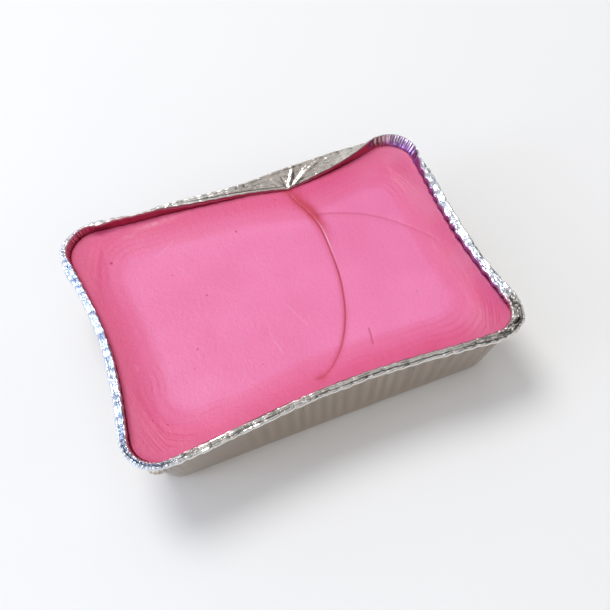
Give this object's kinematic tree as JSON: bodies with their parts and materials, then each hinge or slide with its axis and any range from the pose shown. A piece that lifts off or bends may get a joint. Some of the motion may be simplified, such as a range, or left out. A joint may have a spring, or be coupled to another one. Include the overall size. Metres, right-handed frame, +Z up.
{
  "type": "wax refill in a foil tray",
  "caption": "Block of pink paraffin wax cast in a shallow rectangular pressed foil tray with rounded corners, flared walls and a narrow dented flange.",
  "frame": {"origin": "middle of the tray's base, on the surface that the tray stands on", "axes": "+X along the length of the tray, +Y across it towards the side with the kinked flange, +Z up"},
  "size_m": [0.2128, 0.155, 0.045],
  "materials": {
    "foil": "bright pressed foil with crimps, creases and fine handling wrinkles",
    "wax": "satin translucent wax, cast surface with a fine grain"
  },
  "bodies": {
    "tray": {"foil_tray": "foil"},
    "wax": {"wax_block": "wax"}
  },
  "joints": [
    {"name": "wax_lift", "type": "slide", "parent": "tray", "child": "wax", "axis": [0, 0, 1], "range_m": [0, 0.06]}
  ]
}
